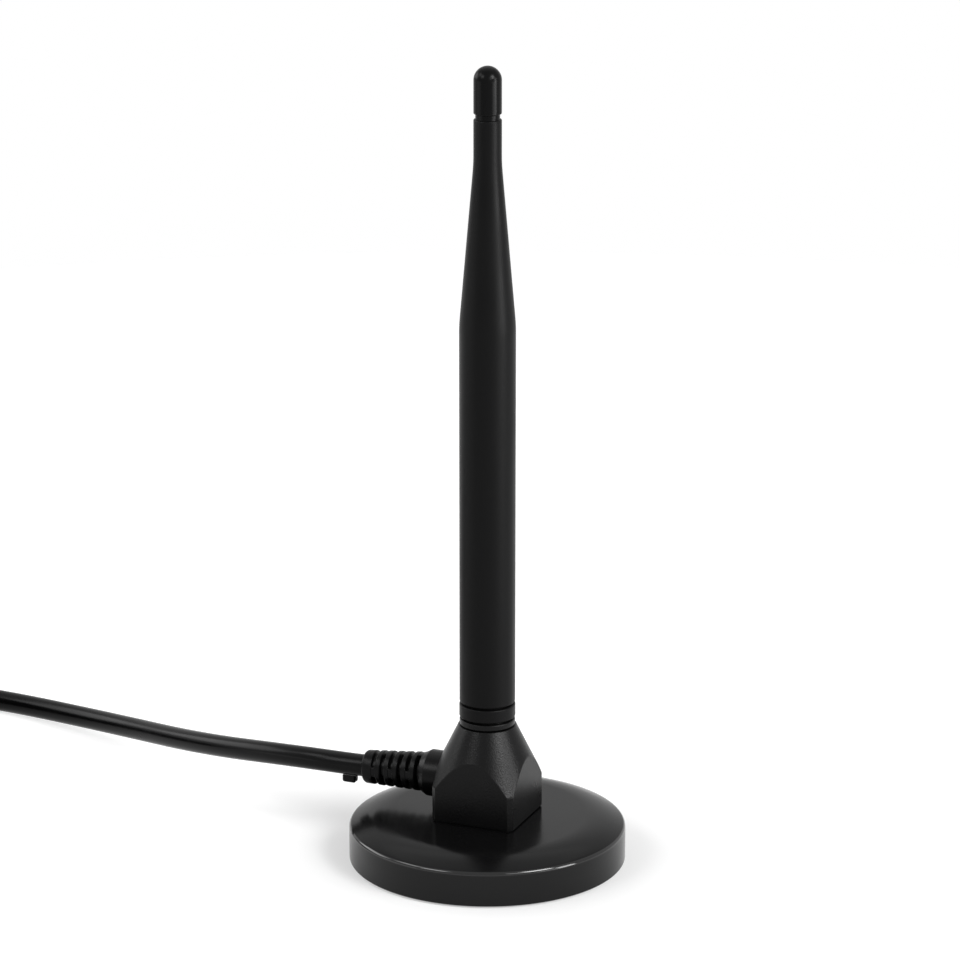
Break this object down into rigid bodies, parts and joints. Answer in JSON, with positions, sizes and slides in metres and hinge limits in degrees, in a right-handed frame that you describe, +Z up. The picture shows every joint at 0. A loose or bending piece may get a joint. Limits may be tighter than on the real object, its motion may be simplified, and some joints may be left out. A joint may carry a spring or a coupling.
{
  "type": "tv antenna",
  "caption": "Indoor TV antenna: tapered black whip on a square-to-cone hub, on a round magnetic base, with a coax lead that leaves the hub through a slotted strain relief to a plug.",
  "frame": {"origin": "middle of the base's underside, on the table", "axes": "+Z up along the whip, -X the way the lead leaves the hub, -Y the side that faces the picture"},
  "size_m": [0.2775, 0.1018, 0.1931],
  "materials": {
    "base_plastic": "satin",
    "hub_plastic": "fine grain",
    "whip_plastic": "satin",
    "cap_plastic": "satin",
    "boot_rubber": "matt",
    "lead_jacket": "semi-matt",
    "pad_rubber": "matt",
    "ferrite": "sintered",
    "steel": "zinc plated",
    "brass_parts": "turned",
    "copper": "bare copper",
    "tinned_braid": "tinned",
    "white_insulation": "smooth",
    "tie_fabric": "hook and loop",
    "plug_plastic": "satin",
    "plug_metal": "nickel plated"
  },
  "bodies": {
    "root": {"base_cover": "base_plastic", "base_pad": "pad_rubber", "ring_magnet": "ferrite", "back_plate": "steel", "base_screws": "steel", "hub_housing": "hub_plastic", "collar_ring": "whip_plastic", "whip_sleeve": "whip_plastic", "tip_cap": "cap_plastic", "whip_ferrule": "brass_parts", "clamp_nut": "steel", "ground_lug": "brass_parts", "insulating_bush": "white_insulation", "radiator_rod": "steel", "rod_spacer": "white_insulation", "strain_relief": "boot_rubber", "cable_nib": "boot_rubber", "coax_lead": "lead_jacket", "cable_coil": "lead_jacket", "coax_braid": "tinned_braid", "coax_dielectric": "white_insulation", "coax_conductor": "copper", "coil_tie": "tie_fabric", "plug_body": "plug_plastic", "plug_shell": "plug_metal", "plug_insulator": "white_insulation", "plug_pin": "plug_metal"}
  },
  "joints": []
}
